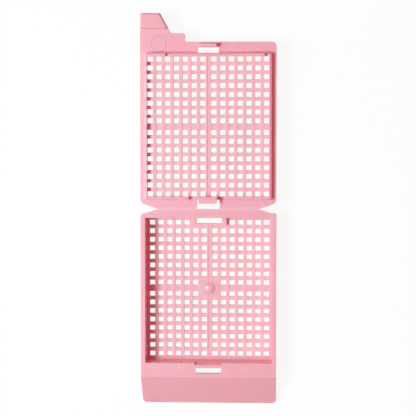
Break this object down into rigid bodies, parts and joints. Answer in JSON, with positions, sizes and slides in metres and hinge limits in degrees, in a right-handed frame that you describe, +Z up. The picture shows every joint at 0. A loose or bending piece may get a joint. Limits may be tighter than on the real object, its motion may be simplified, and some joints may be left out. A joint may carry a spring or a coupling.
{
  "type": "tissue cassette",
  "caption": "Pink plastic histology cassette lying open: perforated tray with a sloping writing face, and a perforated snap lid on a living hinge.",
  "frame": {"origin": "middle of the tray's inside, on the plane of the tray's underside", "axes": "+X across the cassette, +Y from the tray towards the open lid, +Z up out of the tray"},
  "size_m": [0.0286, 0.0828, 0.0083],
  "materials": {
    "base": "moulded pink acetal, satin",
    "lid": "moulded pink acetal, satin",
    "hinge": "thin pink acetal web, slightly translucent"
  },
  "bodies": {
    "tray": {"base": "base", "living_hinge": "hinge"},
    "lid": {"lid": "lid"}
  },
  "joints": [
    {"name": "lid_hinge", "type": "hinge", "parent": "tray", "child": "lid", "pos_m": [0, 0.01724, 0.00605], "axis": [1, 0, 0], "range_deg": [0, 180], "stiffness_Nm_per_rad": 0.01}
  ]
}
